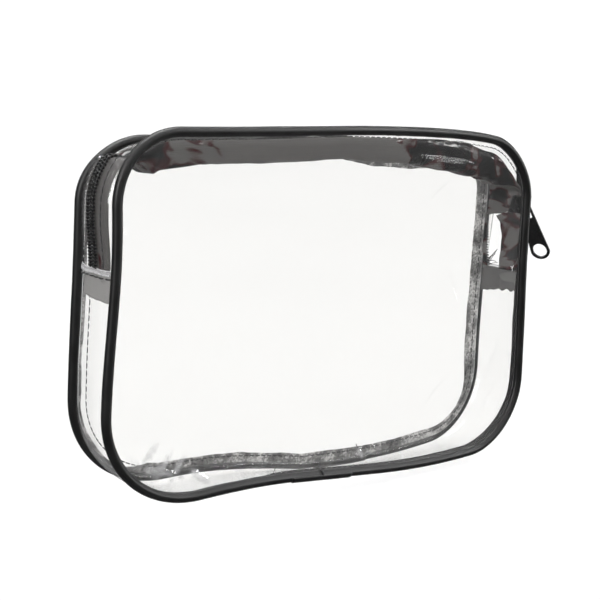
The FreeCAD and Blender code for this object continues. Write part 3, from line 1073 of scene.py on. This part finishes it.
def plate(name, outlines, x1, x2, edge, place, material, slot):
    """A plate with rounded edges from x1 to x2; outlines are (y, z) loops, the later ones holes."""
    curve = bpy.data.curves.new(name + "_outline", "CURVE")
    curve.dimensions = "2D"
    curve.fill_mode = "BOTH"
    curve.extrude = ((x2 - x1) / 2 - edge) * M
    curve.bevel_depth = edge * M
    curve.bevel_resolution = 3
    curve.offset = -edge * M
    for outline in outlines:
        spline = curve.splines.new("POLY")
        spline.points.add(len(outline) - 1)
        for point, (y, z) in zip(spline.points, outline):
            point.co = (y * M, z * M, 0, 1)
        spline.use_cyclic_u = True
    source = bpy.data.objects.new(name + "_outline", curve)
    mesh = bpy.data.meshes.new_from_object(source)
    mesh.name = name
    turned = Matrix(((0, 0, 1, 0), (1, 0, 0, 0), (0, 1, 0, 0), (0, 0, 0, 1)))
    lifted = Matrix.Translation(Vector(((x1 + x2) / 2, 0, 0)))
    mesh.transform(Matrix.Scale(M, 4) @ place @ lifted @ Matrix.Scale(1 / M, 4) @ turned)
    mesh.materials.clear()
    mesh.materials.append(material)
    mesh.shade_smooth()
    piece = add_object(name, mesh)
    weld = piece.modifiers.new("weld", "WELD")
    weld.merge_threshold = 0.00001
    settle(piece)
    piece.data.set_sharp_from_angle(angle=math.radians(50))
    bpy.data.objects.remove(source)
    return piece


def slider_outline(broad, narrow):
    """Broad, rounded shoulders where the halves part, narrower where they leave closed."""
    half = slider_length / 2
    shoulder, tail = 2.2, 1.3
    left = arc_points(-broad + shoulder, -half + shoulder, shoulder, 180, 270, 6)
    right = arc_points(broad - shoulder, -half + shoulder, shoulder, 270, 360, 6)
    top_right = arc_points(narrow - tail, half - tail, tail, 0, 90, 5)
    top_left = arc_points(-narrow + tail, half - tail, tail, 90, 180, 5)
    notch = [(-0.9, -half), (0, -half + 1.1), (0.9, -half)]
    return left + notch + right + top_right + top_left


face_over = coil_height + 0.2
face_under = -0.85
slider_plate = plate("slider_outer_plate", [slider_outline(5.2, 4.1)], face_over, face_over + 1.15, 0.4,
                     slider_place, *metal)
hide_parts("slider_body")
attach(slider_plate, "slider")
under_plate = plate("slider_inner_plate", [slider_outline(4.7, 3.6)], face_under - 1.1, face_under, 0.35,
                    slider_place, *metal)
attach(under_plate, "slider")


def slider_guides():
    """The two side walls that guide the coil, and the wedge that parts it."""
    half = slider_length / 2
    for label, side in (("front", -1), ("back", 1)):
        rows = []
        for z in spread(-half + 1.2, half - 0.8, 12):
            broad = 5.1 if z < 0.5 else mix(5.1, 4.0, (z - 0.5) / (half - 0.5))
            loop = [(face_over - 1.7, broad - 0.7), (face_over + 0.5, broad - 0.7),
                    (face_over + 0.5, broad), (face_over - 1.5, broad), (face_over - 1.75, broad - 0.2)]
            rows.append([slider_place @ Vector((x, side * y, z)) for x, y in loop])
        rim = grid("slider_rim_" + label, rows, *metal, close_columns=True, capped=True)
        rim.data.set_sharp_from_angle(angle=math.radians(40))
        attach(rim, "slider")
    wedge = plate("slider_wedge", [[(-1.0, -half + 0.3), (1.0, -half + 0.3), (0.7, -half + 2.6),
                                    (0, -half + 3.7), (-0.7, -half + 2.6)]],
                  face_under - 0.2, face_over + 0.2, 0.12, slider_place, *metal)
    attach(wedge, "slider")


slider_guides()

# The bridge and the pull's pivot, above the outer plate
plate_face = face_over + 1.1
pivot_height = 1.9
bridge_wall = 1.1
bridge_width = 1.6


def squared(value):
    """Takes a circle's sine or cosine nearer to a square's."""
    return math.copysign(abs(value) ** 0.45, value)


def slider_bridge():
    """The arch that holds the pull: a flat bar bent over, with soft corners."""
    top = plate_face + pivot_height + 1.4 + bridge_wall / 2
    leg = [(plate_face - 0.3, 3.5), (plate_face + 1.6, 3.5), (top - 0.5, 2.9), (top, 1.6)]
    path = curve_through([Vector((x, 0, -z)) for x, z in leg]
                         + [Vector((x, 0, z)) for x, z in reversed(leg)], 40)
    rows = []
    for i, p in enumerate(path):
        ahead = (path[min(i + 1, len(path) - 1)] - path[max(i - 1, 0)]).normalized()
        out = Vector((ahead.z, 0, -ahead.x))
        row = []
        for a in spread(0, 2 * math.pi, 16)[:-1]:
            wide = squared(math.cos(a)) * bridge_width / 2
            thick = squared(math.sin(a)) * bridge_wall / 2
            row.append(slider_place @ (p + Vector((0, wide, 0)) + out * thick))
        rows.append(row)
    bridge = grid("slider_pull_bridge", rows, *metal, close_columns=True, capped=True)
    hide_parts("slider_bridge")
    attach(bridge, "slider")


slider_bridge()

# The pull: its length, half widths at the eye and at the bridge, and how it hangs, in degrees
pull_length = 30.5
pull_half = 4.9
pull_neck = 2.9
pull_swing = 32.0
pull_twist = 25.0


def make_pull():
    """A flat tapered pull with an eye at its far end and a slot round the bridge."""
    ring_z = -(pull_length - pull_half)
    outer = arc_points(0, ring_z, pull_half, 184, 356, 24)
    outer += arc_points(pull_neck - 1.4, -0.1, 1.4, 0, 90, 6)
    outer += arc_points(-pull_neck + 1.4, -0.1, 1.4, 90, 180, 6)
    eye = [(0.93 * y, ring_z + 0.4 + (z - ring_z) * 1.05)
           for y, z in arc_points(0, ring_z, pull_half - 1.15, 0, 345, 23)]
    slot = []
    for k, (y, z) in enumerate(((0.9, -1.6), (-0.9, -1.6), (-0.9, -5.0), (0.9, -5.0))):
        slot += arc_points(y, z, 1.1, 90 * k, 90 * k + 90, 4)
    pivot = slider_place @ Vector((plate_face + pivot_height, 0, 0))
    turned = (Matrix.Rotation(-math.radians(pull_swing), 4, "Y")
              @ Matrix.Rotation(math.radians(pull_twist), 4, "Z"))
    place = Matrix.Translation(pivot) @ turned
    pull = plate("zip_pull", [outer, eye, slot], -0.65, 0.65, 0.35, place, materials["pull"],
                 "pull_metal")
    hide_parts("pull_tab")
    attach(pull, "pull")


make_pull()


# Loose thread ends

def loose_threads():
    """Thread ends at the front's bottom seam and frayed fibres at the zip's right end."""
    paths = ((12, ((12, -12.0, 6.5), (11, -11.2, 8.5), (13, -10.6, 10.5), (12, -10.4, 13))),
             (10, ((-32, -12.0, 5.4), (-34, -11.4, 7.4), (-33, -11.0, 9.4))))
    seam_ends = [curve_through([Vector(point) for point in path], count) for count, path in paths]
    ends = tube_piece("bottom_thread_ends", seam_ends, 0.16, materials["thread"], "black_thread")
    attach(ends, "pouch")
    frayed = []
    for i in range(9):
        y0 = random.uniform(9.5, 12.0)
        z0 = right_end_z + random.uniform(-0.5, 3.0)
        end = Vector((random.uniform(-2.0, 0.3), random.uniform(-7.5, -2.5), random.uniform(-1, 11)))
        start = Vector((half_width - 0.4, y0, z0))
        middle = start + end * 0.5 + Vector((0, random.uniform(-1, 1), 0.6))
        frayed.append(curve_through([start, middle, start + end], 8))
    fibres = tube_piece("zip_end_loose_fibres", frayed, 0.17, materials["thread"], "black_thread", 5)
    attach(fibres, "pouch")


loose_threads()


# Stage, light

def make_stage():
    """A pale floor, level with the lowest point of the bag's soft bottom seam."""
    reach = 6000
    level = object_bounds()[0].z / M - 0.05
    mesh = bpy.data.meshes.new("floor")
    corners = [(x * reach, y * reach, level) for x, y in ((-1, -1), (1, -1), (1, 1), (-1, 1))]
    mesh.from_pydata([tuple(c * M for c in p) for p in corners], [], [(0, 1, 2, 3)])
    material, tree = shader("pale_floor")
    tone = levels(tree, metre_noise(tree, 3.0), (0.3, 0.93), (0.7, 0.95))
    mesh.materials.append(finished(material, {"Base Color": tone, "Roughness": 0.9}))
    floor = add_object("floor", mesh)
    floor.visible_glossy = False


make_stage()


def soft_box(name, location, width, height, power):
    """A lamp aimed at the bag that is only seen in its reflections."""
    light = bpy.data.lights.new(name, "AREA")
    light.shape = "RECTANGLE"
    light.size = width
    light.size_y = height
    light.energy = power
    lamp = add_object(name, light)
    lamp.location = location
    lamp.rotation_euler = (Vector((0, 0, 0.07)) - Vector(location)).to_track_quat("-Z", "Y").to_euler()
    lamp.visible_diffuse = False


def make_room():
    """A white backdrop for the camera, in a room that is dim but for its ceiling."""
    world = bpy.data.worlds.new("studio")
    tree = emptied(world, "ShaderNodeOutputWorld")
    direction = add(tree, "ShaderNodeTexCoord").outputs["Generated"]
    upward = add(tree, "ShaderNodeSeparateXYZ", {0: direction}).outputs["Z"]
    height = scaled(tree, upward, 0.5, 0.5)
    tone = levels(tree, height, (0.0, 0.14), (0.5, 0.12), (0.62, 0.16), (1.0, 0.3))
    room = add(tree, "ShaderNodeBackground", {"Color": tone})
    backdrop = add(tree, "ShaderNodeBackground", {"Color": (1, 1, 1, 1), "Strength": 1.09})
    seen = add(tree, "ShaderNodeLightPath").outputs["Is Camera Ray"]
    both = add(tree, "ShaderNodeMixShader", {0: seen, 1: room.outputs[0], 2: backdrop.outputs[0]})
    tree.links.new(both.outputs[0], tree.nodes["World Output"].inputs["Surface"])
    bpy.context.scene.world = world


def make_lamps():
    """Even light from above without shadows, and four soft boxes."""
    sun = bpy.data.lights.new("even_top_light", "SUN")
    sun.energy = 2.85
    sun.angle = 2.4
    sun.use_shadow = False
    sun.cycles.use_multiple_importance_sampling = False
    add_object("even_top_light", sun).rotation_euler = (0.1, 0.05, 0)
    soft_box("top_box", (0.0, 0.1, 1.4), 0.9, 0.5, 14)
    soft_box("left_box", (-1.3, -0.4, 0.6), 0.22, 1.0, 10)
    soft_box("right_box", (1.1, -0.9, 0.8), 0.2, 1.0, 8)
    soft_box("low_box", (1.35, -0.62, 0.12), 0.12, 0.5, 3.5)


make_room()
make_lamps()
bpy.context.scene.view_settings.view_transform = "Standard"
